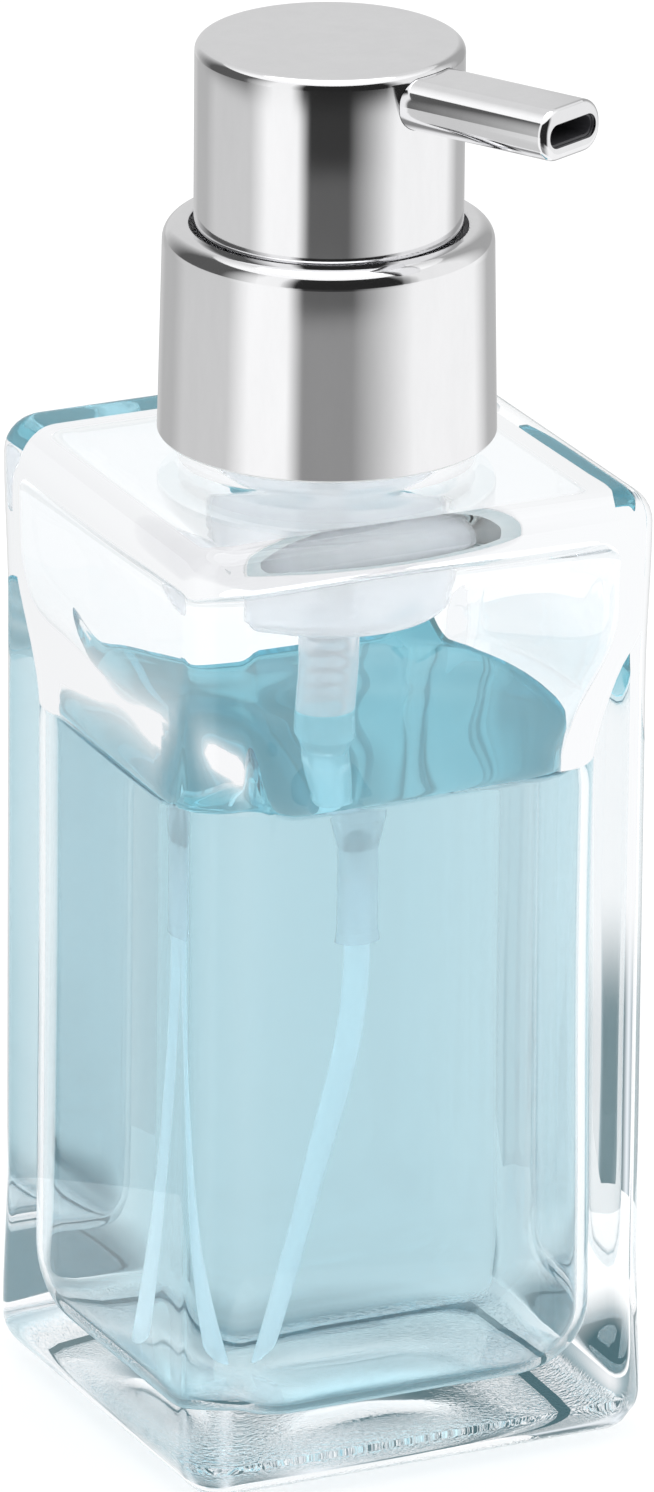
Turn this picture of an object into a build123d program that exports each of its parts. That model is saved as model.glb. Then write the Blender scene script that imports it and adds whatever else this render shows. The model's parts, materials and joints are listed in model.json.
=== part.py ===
"""Square glass bottle with a foaming hand pump: one STEP file for each separate piece.

Frame: millimetres, +Z up. The origin is the centre of the base, on the plane the bottle stands on.
The bottle's four faces are square to X and Y. The spout points mostly along -Y at rest.
"""

from build123d import *

import math
import os

# ---------------------------------------------------------------- bottle (pressed clear glass)
BOTTLE_WIDTH = 70.0
BOTTLE_HEIGHT = 138.9            # to the flat of the shoulder
BOTTLE_CORNER_R = 6.2
SHOULDER_EDGE_R = 5.0
HEEL_EDGE_R = 6.0
CAVITY_WIDTH = 58.6
CAVITY_CORNER_R = 7.5
CAVITY_FLOOR = 9.0
CAVITY_CEILING = 133.0
CAVITY_FLOOR_R = 6.0
CAVITY_CEILING_R = 4.5
PUSH_UP_WIDTH = 52.0             # shallow hollow under the base, inside the standing ring
PUSH_UP_DEPTH = 0.8
NECK_R = 18.8
NECK_BORE_R = 16.95
NECK_TOP = 152.0
NECK_FOOT_R = 1.6
THROAT_R = 4.0                   # rounding where the neck's bore opens into the hollow

# ---------------------------------------------------------------- screw thread, right-handed
PITCH = 4.23
NECK_THREAD_R = 20.2             # crest of the thread on the glass
NECK_THREAD_FOOT = 2.2
NECK_THREAD_CREST = 1.0
NECK_THREAD_START = 144.9        # height of the ridge's centre line where it begins
NECK_THREAD_TURNS = 1.25
CAP_THREAD_R = 19.0              # crest of the thread inside the closure
CAP_THREAD_FOOT = 1.6
CAP_THREAD_CREST = 0.5
CAP_THREAD_DROP = 1.45           # the closure's ridge bears on the underside of the glass ridge
CAP_THREAD_TURNS = 1.1
THREAD_ROOT_BITE = 0.25          # how far each ridge is rooted into its wall

# ---------------------------------------------------------------- seal and pump cylinder
GASKET_THICK = 1.0
GASKET_R = 19.0
FLANGE_THICK = 1.2
FLANGE_R = 19.1
FLANGE_BOTTOM = NECK_TOP + GASKET_THICK
FLANGE_TOP = FLANGE_BOTTOM + FLANGE_THICK
AIR_CYL_R = 16.5
AIR_CYL_BORE_R = 15.3
AIR_CYL_BOTTOM = 118.0
AIR_CYL_FLOOR = 119.5
AIR_CYL_EDGE_R = 1.0
TOWER_R = 4.4                    # liquid cylinder's top, standing inside the air cylinder
TOWER_TOP = 124.0
LIQUID_CYL_R = 4.2
LIQUID_BORE_R = 3.2
LIQUID_CYL_BOTTOM = 89.0
SPRING_LEDGE = 89.5
BALL_CHAMBER_R = 2.35
SEAT_TOP = 85.5
SEAT_BOTTOM = 84.0
PORT_R = 1.3
SOCKET_SHOULDER = 84.7
SOCKET_R = 3.05
SOCKET_FLARE_R = 3.35
SOCKET_FLARE_HEIGHT = 1.5
SOCKET_BORE_R = 1.97
SOCKET_STOP = 80.0
SOCKET_MOUTH = 71.0
VENT_R = 0.5
VENT_HEIGHT = 147.3

# ---------------------------------------------------------------- dip tube
TUBE_R = 1.95
TUBE_BORE_R = 1.35
TUBE_ROUTE = [(0, 0, 80), (0, 0, 58.5), (-9.3, 0, 29), (-16.9, 0, 9.3)]
TUBE_BENDS = [78, 90]
TUBE_CUT_TILT = 30.0             # the foot is cut on a slant so that it can't seal on the floor

# ---------------------------------------------------------------- cylinder cap, the stem's guide
GUIDE_PLUG_R = 15.25
GUIDE_PLUG_BORE_R = 13.8
GUIDE_BOTTOM = 151.5
GUIDE_WEB_BOTTOM = 153.0
GUIDE_R = 7.8
GUIDE_BORE_R = 6.56
GUIDE_TOP = 160.0

# ---------------------------------------------------------------- balls
BALL_R = 2.0
BALL_SEAT_GAP = 0.01

# ---------------------------------------------------------------- return spring
SPRING_R = 2.75                  # to the middle of the wire
SPRING_WIRE_R = 0.28
SPRING_TOP = 114.5
SPRING_COILS = 9

# ---------------------------------------------------------------- pistons
LIQUID_PISTON_R = 3.15
LIQUID_PISTON_BOTTOM = 114.5
LIQUID_PISTON_TOP = 120.5
LIQUID_PISTON_PORT_R = 1.4
AIR_PISTON_R = 15.24
AIR_PISTON_BOTTOM = 144.5
AIR_PISTON_TOP = 150.2
AIR_LIP_TAPER = 0.3              # the sealing lips thin out towards their edges
AIR_DISC_BOTTOM = 147.0
AIR_DISC_TOP = 148.2
AIR_HUB_R = 5.2
AIR_RIM_BORE_R = 14.2
AIR_PORT_R = 1.0
AIR_PORT_CIRCLE_R = 7.5
AIR_PORTS = 6
FLAP_R = 9.6
FLAP_THICK = 0.4
SLIDE_GAP = 0.03                 # radial clearance of the running fits on the stem

# ---------------------------------------------------------------- stem
STEM_FOOT = 116.0
STEM_FOOT_R = 2.6
STEM_FOOT_BORE_R = 1.4
STEM_MID = 139.5
STEM_MID_R = 4.0
STEM_SEAT_BOTTOM = 140.5
STEM_SEAT_TOP = 142.0
STEM_CHAMBER_R = 2.5
STEM_CHAMBER_TOP = 148.0
STEM_PASSAGE_R = 1.8
STEM_HEAD_BOTTOM = 150.5
STEM_HEAD_R = 6.5
STEM_HEAD_BORE_R = 5.2
STEM_HEAD_FLOOR = 152.0
STEM_TOP = 186.0
AIR_HOLE_R = 0.6
AIR_HOLE_HEIGHT = 149.3
AIR_HOLES = 4
RETAINER_BOTTOM = 145.8
RETAINER_TOP = 147.0
RETAINER_BORE_R = 1.1
RETAINER_NOTCH = 0.9
RETAINER_NOTCHES = 3

# ---------------------------------------------------------------- foam screens
MESH_HOLDER_R = 5.15
MESH_HOLDER_BORE_R = 4.2
MESH_HOLDER_BOTTOM = 175.5
MESH_HOLDER_TOP = 185.5
SCREEN_THICK = 0.3
SCREEN_R = 4.7
SCREEN_SEAT = 0.8                # how far each screen sits inside its end of the holder

# ---------------------------------------------------------------- head
HEAD_R = 18.5
HEAD_WALL = 1.0
HEAD_TOP = 198.0
HEAD_EDGE_R = 1.4
HEAD_INNER_EDGE_R = 0.8
SKIRT_BOTTOM = 170.6
CORE_R = 8.0
CORE_SOCKET_BOTTOM = 174.5
CORE_TOP = 196.6
CORE_CHANNEL_R = 3.0
CORE_CHANNEL_TOP = 194.3
RIB_THICK = 1.2
RIB_BOTTOM = 178.0
RIB_TOP = 195.8
RIB_TURNS = (90, 180, 270)       # from the spout's direction
RIB_ROOT_BITE = 0.6              # how far each rib is rooted into the core
PRESS_GAP = 0.05                 # radial gap drawn at the pressed-together joints

# ---------------------------------------------------------------- spout
SPOUT_TURN = -65.5               # its direction, from +X
SPOUT_RISE = 1.8                 # degrees it climbs towards its tip
SPOUT_AXIS_HEIGHT = 192.9        # of its centre line, over the pump's axis
SPOUT_REACH = 42.8
SPOUT_ROOT = 8.4
SPOUT_WIDTH = 12.2
SPOUT_HEIGHT = 7.3
SPOUT_CORNER_R = 3.3
SPOUT_TIP_R = 1.1
SLOT_WIDTH = 9.7
SLOT_HEIGHT = 3.4
SLOT_CORNER_R = 1.65
LINER_GAP = 0.05
LINER_WALL = 0.35
LINER_SETBACK = 0.7
NOZZLE_REACH = 13.0              # the core's stub that enters the spout

# ---------------------------------------------------------------- closure and collar
CLOSURE_LIP_BOTTOM = 142.3
CLOSURE_LIP_R = 23.15
CLOSURE_BORE_R = 20.4
WEB_BOTTOM = FLANGE_TOP + 0.05
WEB_TOP = WEB_BOTTOM + 1.4
WEB_HOLE_R = 8.3
COLLAR_BOTTOM = 142.6
COLLAR_BOTTOM_R = 23.35
COLLAR_TOP = 172.1
COLLAR_TOP_R = 22.75
COLLAR_WALL = 0.9
COLLAR_EDGE_R = 2.6
COLLAR_MOUTH_R = 19.1
COLLAR_MOUTH_EDGE_R = 0.45
COLLAR_MOUTH_DEPTH = 2.0

# ---------------------------------------------------------------- cutting tools
CUT_LENGTH = 6.0                 # a small hole's tool, long enough to pass through one wall
CUT_BLOCK = 20.0                 # the block that trims the dip tube's foot
OVERCUT = 1.0                    # how far a tool runs past the face that it opens
TOLERANCE = 0.01                 # for finding an edge by its place


def turned(outline):
    """Solid of revolution about Z of a closed outline of (radius, height) points."""
    profile = make_face(Polyline(*[(r, 0, z) for r, z in outline], close=True))
    return revolve(profile, axis=Axis.Z)


def ring(outer_r, bore_r, bottom, top):
    return turned([(bore_r, bottom), (outer_r, bottom), (outer_r, top), (bore_r, top)])


def disc(radius, bottom, top):
    return turned([(0, bottom), (radius, bottom), (radius, top), (0, top)])


def circles_at(solid, radius, height):
    """The round edges about Z of one radius at one height."""
    def matches(edge):
        centre = edge.arc_center
        on_axis = math.hypot(centre.X, centre.Y) < TOLERANCE
        return on_axis and abs(edge.radius - radius) < TOLERANCE and abs(centre.Z - height) < TOLERANCE
    return solid.edges().filter_by(GeomType.CIRCLE).filter_by(matches)


def edges_at(solid, height):
    """The edges lying in one horizontal plane."""
    def flat(edge):
        box = edge.bounding_box()
        return abs(box.min.Z - height) < TOLERANCE and abs(box.max.Z - height) < TOLERANCE
    return solid.edges().filter_by(flat)


def around(count, radius, height, tool):
    """Copies of a tool, evenly spaced on a circle about Z."""
    spots = [(radius, 360 * i / count) for i in range(count)]
    return [Rot(0, 0, turn) * Pos(r, 0, height) * tool for r, turn in spots]


def thread_ridge(root_r, crest_r, foot, crest, start, turns):
    """A helical ridge of trapezium section; its foot is rooted a little into the wall behind root_r."""
    outward = 1 if crest_r > root_r else -1
    path = Pos(0, 0, start) * Helix(pitch=PITCH, height=PITCH * turns, radius=root_r)
    back = root_r - outward * THREAD_ROOT_BITE
    section = make_face(Polyline(
        (back, 0, start - foot / 2),
        (root_r, 0, start - foot / 2),
        (crest_r, 0, start - crest / 2),
        (crest_r, 0, start + crest / 2),
        (root_r, 0, start + foot / 2),
        (back, 0, start + foot / 2),
        close=True,
    ))
    return sweep(section, path=path, is_frenet=True)


def seated_ball_centre(port_r, port_height, mouth_r, mouth_height):
    """Height of the ball's centre when it rests in a conical seat."""
    slope = (mouth_r - port_r) / (mouth_height - port_height)
    return port_height + (BALL_R * math.hypot(1, slope) - port_r) / slope + BALL_SEAT_GAP


def bottle():
    width, height = BOTTLE_WIDTH, BOTTLE_HEIGHT
    body = extrude(RectangleRounded(width, width, BOTTLE_CORNER_R), height)
    body = fillet(edges_at(body, height), SHOULDER_EDGE_R)
    body = fillet(edges_at(body, 0), HEEL_EDGE_R)
    hollow_height = CAVITY_CEILING - CAVITY_FLOOR
    hollow = extrude(RectangleRounded(CAVITY_WIDTH, CAVITY_WIDTH, CAVITY_CORNER_R), hollow_height)
    hollow = fillet(edges_at(hollow, hollow_height), CAVITY_CEILING_R)
    hollow = Pos(0, 0, CAVITY_FLOOR) * fillet(edges_at(hollow, 0), CAVITY_FLOOR_R)
    push_up = extrude(RectangleRounded(PUSH_UP_WIDTH, PUSH_UP_WIDTH, BOTTLE_CORNER_R), PUSH_UP_DEPTH)
    body += disc(NECK_R, CAVITY_CEILING, NECK_TOP)
    body = fillet(circles_at(body, NECK_R, height), NECK_FOOT_R)
    body += thread_ridge(NECK_R, NECK_THREAD_R, NECK_THREAD_FOOT, NECK_THREAD_CREST,
                         NECK_THREAD_START, NECK_THREAD_TURNS)
    body = body - hollow - push_up - disc(NECK_BORE_R, CAVITY_CEILING - CAVITY_CEILING_R, NECK_TOP)
    return fillet(circles_at(body, NECK_BORE_R, CAVITY_CEILING), THROAT_R)


def neck_gasket():
    return ring(GASKET_R, NECK_BORE_R, NECK_TOP, FLANGE_BOTTOM)


def pump_cylinder():
    """Air cylinder, liquid cylinder, ball seat and tube socket in one translucent moulding."""
    body = turned([
        (SOCKET_BORE_R, SOCKET_MOUTH),
        (SOCKET_FLARE_R, SOCKET_MOUTH),
        (SOCKET_R, SOCKET_MOUTH + SOCKET_FLARE_HEIGHT),
        (SOCKET_R, SOCKET_SHOULDER),
        (LIQUID_CYL_R, LIQUID_CYL_BOTTOM),
        (LIQUID_CYL_R, AIR_CYL_BOTTOM),
        (AIR_CYL_R, AIR_CYL_BOTTOM),
        (AIR_CYL_R, FLANGE_BOTTOM),
        (FLANGE_R, FLANGE_BOTTOM),
        (FLANGE_R, FLANGE_TOP),
        (AIR_CYL_BORE_R, FLANGE_TOP),
        (AIR_CYL_BORE_R, AIR_CYL_FLOOR),
        (TOWER_R, AIR_CYL_FLOOR),
        (TOWER_R, TOWER_TOP),
        (LIQUID_BORE_R, TOWER_TOP),
        (LIQUID_BORE_R, SPRING_LEDGE),
        (BALL_CHAMBER_R, SPRING_LEDGE),
        (BALL_CHAMBER_R, SEAT_TOP),
        (PORT_R, SEAT_BOTTOM),
        (PORT_R, SOCKET_STOP),
        (SOCKET_BORE_R, SOCKET_STOP),
    ])
    body = fillet(circles_at(body, AIR_CYL_R, AIR_CYL_BOTTOM), AIR_CYL_EDGE_R)
    vent = Rot(0, 90, 0) * Cylinder(VENT_R, CUT_LENGTH)
    return body - Pos(AIR_CYL_R, 0, VENT_HEIGHT) * vent


def dip_tube():
    route = FilletPolyline(*TUBE_ROUTE, radius=TUBE_BENDS)
    ends = [Circle(TUBE_R), Circle(TUBE_BORE_R)]
    start = Plane(origin=TUBE_ROUTE[0], z_dir=(0, 0, -1))
    outside, inside = [sweep(start * end, path=route) for end in ends]
    tube = outside - inside
    area = math.pi * (TUBE_R**2 - TUBE_BORE_R**2)
    print("dip tube: volume", round(tube.volume, 1), "section times length", round(area * route.length, 1))
    foot = Vector(*TUBE_ROUTE[-1])
    block = Pos(0, 0, -CUT_BLOCK / 2) * Box(CUT_BLOCK, CUT_BLOCK, CUT_BLOCK)
    return tube - Pos(foot.X, foot.Y, foot.Z + TUBE_R) * Rot(0, -TUBE_CUT_TILT, 0) * block


def cylinder_cap():
    """Snaps into the air cylinder's mouth and guides the stem."""
    return turned([
        (GUIDE_BORE_R, GUIDE_BOTTOM),
        (GUIDE_R, GUIDE_BOTTOM),
        (GUIDE_R, GUIDE_WEB_BOTTOM),
        (GUIDE_PLUG_BORE_R, GUIDE_WEB_BOTTOM),
        (GUIDE_PLUG_BORE_R, GUIDE_BOTTOM),
        (GUIDE_PLUG_R, GUIDE_BOTTOM),
        (GUIDE_PLUG_R, FLANGE_TOP),
        (GUIDE_R, FLANGE_TOP),
        (GUIDE_R, GUIDE_TOP),
        (GUIDE_BORE_R, GUIDE_TOP),
    ])


def inlet_ball():
    centre = seated_ball_centre(PORT_R, SEAT_BOTTOM, BALL_CHAMBER_R, SEAT_TOP)
    return Pos(0, 0, centre) * Sphere(BALL_R)


def outlet_ball():
    centre = seated_ball_centre(STEM_FOOT_BORE_R, STEM_SEAT_BOTTOM, STEM_CHAMBER_R, STEM_SEAT_TOP)
    return Pos(0, 0, centre) * Sphere(BALL_R)


def return_spring():
    bottom = SPRING_LEDGE + SPRING_WIRE_R
    height = SPRING_TOP - SPRING_WIRE_R - bottom
    coil = Pos(0, 0, bottom) * Helix(pitch=height / SPRING_COILS, height=height, radius=SPRING_R)
    wire = Plane(origin=coil @ 0, z_dir=coil % 0) * Circle(SPRING_WIRE_R)
    return sweep(wire, path=coil, is_frenet=True)


def liquid_piston():
    """Pushed onto the stem's foot; the spring bears on its underside."""
    return turned([
        (LIQUID_PISTON_PORT_R, LIQUID_PISTON_BOTTOM),
        (LIQUID_PISTON_R, LIQUID_PISTON_BOTTOM),
        (LIQUID_PISTON_R, LIQUID_PISTON_TOP),
        (STEM_FOOT_R + SLIDE_GAP, LIQUID_PISTON_TOP),
        (STEM_FOOT_R + SLIDE_GAP, STEM_FOOT),
        (LIQUID_PISTON_PORT_R, STEM_FOOT),
    ])


def air_piston():
    hub_bore_r = STEM_MID_R + SLIDE_GAP
    body = turned([
        (hub_bore_r, AIR_PISTON_BOTTOM),
        (AIR_HUB_R, AIR_PISTON_BOTTOM),
        (AIR_HUB_R, AIR_DISC_BOTTOM),
        (AIR_RIM_BORE_R, AIR_DISC_BOTTOM),
        (AIR_PISTON_R - AIR_LIP_TAPER, AIR_PISTON_BOTTOM),
        (AIR_PISTON_R, AIR_PISTON_BOTTOM),
        (AIR_PISTON_R, AIR_PISTON_TOP),
        (AIR_PISTON_R - AIR_LIP_TAPER, AIR_PISTON_TOP),
        (AIR_RIM_BORE_R, AIR_DISC_TOP),
        (hub_bore_r, AIR_DISC_TOP),
    ])
    port = Cylinder(AIR_PORT_R, CUT_LENGTH)
    for tool in around(AIR_PORTS, AIR_PORT_CIRCLE_R, AIR_DISC_BOTTOM, port):
        body -= tool
    return body


def air_valve_flap():
    """Soft ring under the air piston's ports."""
    return ring(FLAP_R, AIR_HUB_R + PRESS_GAP, AIR_DISC_BOTTOM - FLAP_THICK, AIR_DISC_BOTTOM)


def piston_stem():
    """Hollow stem: narrow foot, ball chamber, then the wide foam chamber that the head is pushed onto."""
    body = turned([
        (STEM_FOOT_BORE_R, STEM_FOOT),
        (STEM_FOOT_R, STEM_FOOT),
        (STEM_FOOT_R, STEM_MID),
        (STEM_MID_R, STEM_MID),
        (STEM_MID_R, STEM_HEAD_BOTTOM),
        (STEM_HEAD_R, STEM_HEAD_BOTTOM),
        (STEM_HEAD_R, STEM_TOP),
        (STEM_HEAD_BORE_R, STEM_TOP),
        (STEM_HEAD_BORE_R, STEM_HEAD_FLOOR),
        (STEM_PASSAGE_R, STEM_HEAD_FLOOR),
        (STEM_PASSAGE_R, STEM_CHAMBER_TOP),
        (STEM_CHAMBER_R, STEM_CHAMBER_TOP),
        (STEM_CHAMBER_R, STEM_SEAT_TOP),
        (STEM_FOOT_BORE_R, STEM_SEAT_BOTTOM),
    ])
    hole = Rot(0, 90, 0) * Cylinder(AIR_HOLE_R, CUT_LENGTH)
    for tool in around(AIR_HOLES, STEM_MID_R, AIR_HOLE_HEIGHT, hole):
        body -= tool
    return body


def ball_retainer():
    """Notched ring that stops the outlet ball and lets the soap past."""
    body = ring(STEM_CHAMBER_R - PRESS_GAP, RETAINER_BORE_R, RETAINER_BOTTOM, RETAINER_TOP)
    middle = (RETAINER_BOTTOM + RETAINER_TOP) / 2
    notch = Box(2 * RETAINER_NOTCH, RETAINER_NOTCH, 2 * (RETAINER_TOP - RETAINER_BOTTOM))
    for tool in around(RETAINER_NOTCHES, STEM_CHAMBER_R, middle, notch):
        body -= tool
    return body


def mesh_holder():
    body = ring(MESH_HOLDER_R, MESH_HOLDER_BORE_R, MESH_HOLDER_BOTTOM, MESH_HOLDER_TOP)
    seat_r = SCREEN_R + PRESS_GAP
    body -= disc(seat_r, MESH_HOLDER_BOTTOM, MESH_HOLDER_BOTTOM + SCREEN_SEAT)
    return body - disc(seat_r, MESH_HOLDER_TOP - SCREEN_SEAT, MESH_HOLDER_TOP)


def foam_screen_lower():
    top = MESH_HOLDER_BOTTOM + SCREEN_SEAT
    return disc(SCREEN_R, top - SCREEN_THICK, top)


def foam_screen_upper():
    bottom = MESH_HOLDER_TOP - SCREEN_SEAT
    return disc(SCREEN_R, bottom, bottom + SCREEN_THICK)


def spout_plane(distance):
    """Section plane across the spout, at a distance along its centre line from the pump's axis."""
    turn, rise = math.radians(SPOUT_TURN), math.radians(SPOUT_RISE)
    along = Vector(math.cos(turn) * math.cos(rise), math.sin(turn) * math.cos(rise), math.sin(rise))
    across = Vector(-math.sin(turn), math.cos(turn), 0)
    origin = Vector(0, 0, SPOUT_AXIS_HEIGHT) + along * distance
    return Plane(origin=origin, x_dir=across, z_dir=along)


def spout_bar(width, height, corner_r, start, end):
    """A straight bar of rounded section along the spout's centre line."""
    return extrude(spout_plane(start) * RectangleRounded(width, height, corner_r), end - start)


def actuator_core():
    """Plain inner moulding: socket for the stem, foam channel, stub for the spout, ribs to the shell."""
    body = ring(CORE_R, STEM_HEAD_R, CORE_SOCKET_BOTTOM, STEM_TOP)
    body += disc(CORE_R, STEM_TOP, CORE_TOP)
    stub_width, stub_height = SLOT_WIDTH - 2 * LINER_GAP, SLOT_HEIGHT - 2 * LINER_GAP
    body += spout_bar(stub_width, stub_height, SLOT_CORNER_R - LINER_GAP, CORE_R / 2, NOZZLE_REACH)
    rib_end = HEAD_R - HEAD_WALL - PRESS_GAP
    rib_start = CORE_R - RIB_ROOT_BITE
    rib_length = rib_end - rib_start
    for turn in RIB_TURNS:
        rib = Pos((rib_start + rib_end) / 2, 0, (RIB_BOTTOM + RIB_TOP) / 2)
        body += Rot(0, 0, SPOUT_TURN + turn) * rib * Box(rib_length, RIB_THICK, RIB_TOP - RIB_BOTTOM)
    body -= disc(CORE_CHANNEL_R, STEM_TOP, CORE_CHANNEL_TOP)
    channel_width, channel_height = stub_width - 2 * LINER_WALL, stub_height - 2 * LINER_WALL
    channel_r = SLOT_CORNER_R - LINER_GAP - LINER_WALL
    return body - spout_bar(channel_width, channel_height, channel_r, 0, NOZZLE_REACH + OVERCUT)


def head_shell():
    """The button: one deep-drawn cup with a window for the spout."""
    inner_r = HEAD_R - HEAD_WALL
    cup = disc(HEAD_R, SKIRT_BOTTOM, HEAD_TOP)
    cup = fillet(circles_at(cup, HEAD_R, HEAD_TOP), HEAD_EDGE_R)
    hollow = disc(inner_r, SKIRT_BOTTOM, HEAD_TOP - HEAD_WALL)
    hollow = fillet(circles_at(hollow, inner_r, HEAD_TOP - HEAD_WALL), HEAD_INNER_EDGE_R)
    window = spout_bar(SPOUT_WIDTH + 2 * PRESS_GAP, SPOUT_HEIGHT + 2 * PRESS_GAP,
                       SPOUT_CORNER_R + PRESS_GAP, HEAD_R / 2, SPOUT_REACH)
    return cup - hollow - window


def spout():
    bar = spout_bar(SPOUT_WIDTH, SPOUT_HEIGHT, SPOUT_CORNER_R, SPOUT_ROOT, SPOUT_REACH)
    tip = spout_plane(SPOUT_REACH)
    rim = bar.edges().filter_by(lambda edge: abs(tip.to_local_coords(edge.center()).Z) < 0.01)
    bar = fillet(rim, SPOUT_TIP_R)
    collar_hole = disc(CORE_R + PRESS_GAP, SKIRT_BOTTOM, HEAD_TOP)
    slot = spout_bar(SLOT_WIDTH, SLOT_HEIGHT, SLOT_CORNER_R, 0, SPOUT_REACH + OVERCUT)
    return bar - slot - collar_hole


def spout_liner():
    """Dark tube seen inside the outlet."""
    start, end = NOZZLE_REACH + PRESS_GAP, SPOUT_REACH - LINER_SETBACK
    width, height = SLOT_WIDTH - 2 * LINER_GAP, SLOT_HEIGHT - 2 * LINER_GAP
    corner_r = SLOT_CORNER_R - LINER_GAP
    outside = spout_bar(width, height, corner_r, start, end)
    inner_width, inner_height = width - 2 * LINER_WALL, height - 2 * LINER_WALL
    return outside - spout_bar(inner_width, inner_height, corner_r - LINER_WALL,
                               start - OVERCUT, end + OVERCUT)


def collar_r(height):
    """Outer radius of the drafted collar at one height."""
    share = (height - COLLAR_BOTTOM) / (COLLAR_TOP - COLLAR_BOTTOM)
    return COLLAR_BOTTOM_R + share * (COLLAR_TOP_R - COLLAR_BOTTOM_R)


def collar_shell():
    """Drafted metal skirt with a rounded rim that turns down around the head."""
    lip_bottom = COLLAR_TOP - COLLAR_MOUTH_DEPTH
    shoulder = COLLAR_TOP - COLLAR_WALL
    body = turned([
        (COLLAR_BOTTOM_R - COLLAR_WALL, COLLAR_BOTTOM),
        (COLLAR_BOTTOM_R, COLLAR_BOTTOM),
        (COLLAR_TOP_R, COLLAR_TOP),
        (COLLAR_MOUTH_R, COLLAR_TOP),
        (COLLAR_MOUTH_R, lip_bottom),
        (COLLAR_MOUTH_R + COLLAR_WALL, lip_bottom),
        (COLLAR_MOUTH_R + COLLAR_WALL, shoulder),
        (collar_r(shoulder) - COLLAR_WALL - COLLAR_EDGE_R / 2, shoulder),
        (collar_r(lip_bottom) - COLLAR_WALL, lip_bottom - COLLAR_EDGE_R / 4),
    ])
    body = fillet(circles_at(body, COLLAR_TOP_R, COLLAR_TOP), COLLAR_EDGE_R)
    return fillet(circles_at(body, COLLAR_MOUTH_R, COLLAR_TOP), COLLAR_MOUTH_EDGE_R)


def closure():
    """Plain screw cap hidden in the collar; only its foot lip shows, below the metal."""
    gap = COLLAR_WALL + PRESS_GAP
    body = turned([
        (CLOSURE_BORE_R, CLOSURE_LIP_BOTTOM),
        (CLOSURE_LIP_R, CLOSURE_LIP_BOTTOM),
        (CLOSURE_LIP_R, COLLAR_BOTTOM),
        (collar_r(COLLAR_BOTTOM) - gap, COLLAR_BOTTOM),
        (collar_r(WEB_TOP) - gap, WEB_TOP),
        (WEB_HOLE_R, WEB_TOP),
        (WEB_HOLE_R, WEB_BOTTOM),
        (CLOSURE_BORE_R, WEB_BOTTOM),
    ])
    return body + thread_ridge(CLOSURE_BORE_R, CAP_THREAD_R, CAP_THREAD_FOOT, CAP_THREAD_CREST,
                               NECK_THREAD_START - CAP_THREAD_DROP, CAP_THREAD_TURNS)


PIECES = [
    bottle, neck_gasket, pump_cylinder, cylinder_cap, dip_tube, inlet_ball, return_spring,
    liquid_piston, air_piston, air_valve_flap, piston_stem, outlet_ball, ball_retainer,
    mesh_holder, foam_screen_lower, foam_screen_upper, actuator_core, head_shell,
    spout, spout_liner, closure, collar_shell,
]

os.makedirs("parts", exist_ok=True)
for piece in PIECES:
    export_step(piece(), f"parts/{piece.__name__}.step")
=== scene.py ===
"""Looks of a foaming soap dispenser: square glass bottle, pale blue soap, bright metal pump.

Everything is in metres in the CAD frame: +Z up, origin at the centre of the base. Lengths written
in millimetres are multiplied by MM.
"""

import json
import math

import bpy
from mathutils import Matrix, Vector


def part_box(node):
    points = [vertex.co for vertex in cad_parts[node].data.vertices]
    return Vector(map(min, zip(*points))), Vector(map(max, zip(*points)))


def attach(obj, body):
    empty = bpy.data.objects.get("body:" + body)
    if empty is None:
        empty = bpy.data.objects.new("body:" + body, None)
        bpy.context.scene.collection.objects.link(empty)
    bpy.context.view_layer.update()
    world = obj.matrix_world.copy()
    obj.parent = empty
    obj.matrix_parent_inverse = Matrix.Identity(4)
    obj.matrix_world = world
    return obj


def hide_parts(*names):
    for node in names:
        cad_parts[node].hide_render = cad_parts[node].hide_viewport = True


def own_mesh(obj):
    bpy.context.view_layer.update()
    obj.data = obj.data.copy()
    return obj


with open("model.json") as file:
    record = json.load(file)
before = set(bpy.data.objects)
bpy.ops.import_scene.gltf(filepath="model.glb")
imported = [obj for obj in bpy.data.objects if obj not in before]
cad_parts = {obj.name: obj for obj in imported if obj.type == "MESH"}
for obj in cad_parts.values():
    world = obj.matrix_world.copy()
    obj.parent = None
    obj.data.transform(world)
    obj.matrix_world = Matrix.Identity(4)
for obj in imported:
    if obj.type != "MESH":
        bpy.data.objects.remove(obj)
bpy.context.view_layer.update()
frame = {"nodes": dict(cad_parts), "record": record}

MM = 0.001

# ---------------------------------------------------------------- glass and soap, from the frame
bottle_low, bottle_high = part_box("bottle")
HALF = bottle_high.x                     # half the bottle's width
NECK_TOP = bottle_high.z
CORNER_R = 6.2 * MM
HEEL_R = 6.0 * MM
SHOULDER_Z = 138.9 * MM
SHOULDER_R = 5.0 * MM
WAIST = 0.45 * MM                        # how far the panels are drawn in between heel and shoulder
WAIST_RUN = 22 * MM
NECK_R = 18.8 * MM
NECK_FOOT_R = 1.6 * MM
BORE_R = 16.95 * MM
LIP_R = 0.7 * MM
THREAD_RISE = 1.4 * MM
THREAD_PITCH = 4.23 * MM
THREAD_START = 144.9 * MM
THREAD_TURNS = 1.25
THREAD_FOOT = 2.2 * MM
THROAT_R = 4.0 * MM
CAVITY_HALF = 29.3 * MM
CAVITY_TOP_HALF = 32.0 * MM              # the walls are thinner above the soap
CAVITY_FLARE = (97 * MM, 121 * MM)       # heights between which the hollow widens
CAVITY_CORNER_R = 13.0 * MM
CAVITY_TOP_CORNER_R = 5.5 * MM
CAVITY_FLOOR = 9.0 * MM
CAVITY_FLOOR_R = 9.0 * MM
CAVITY_CEILING = 133.0 * MM
CAVITY_CEILING_R = 4.5 * MM
SOAP_LEVEL = 98.0 * MM
SOAP_OVERLAP = 0.12 * MM                 # the soap reaches this far into the glass, so no air film shows
MENISCUS = 0.8 * MM
SWELL = 2.4 * MM                         # the soap is a little higher at the back, as after a nudge
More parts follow.
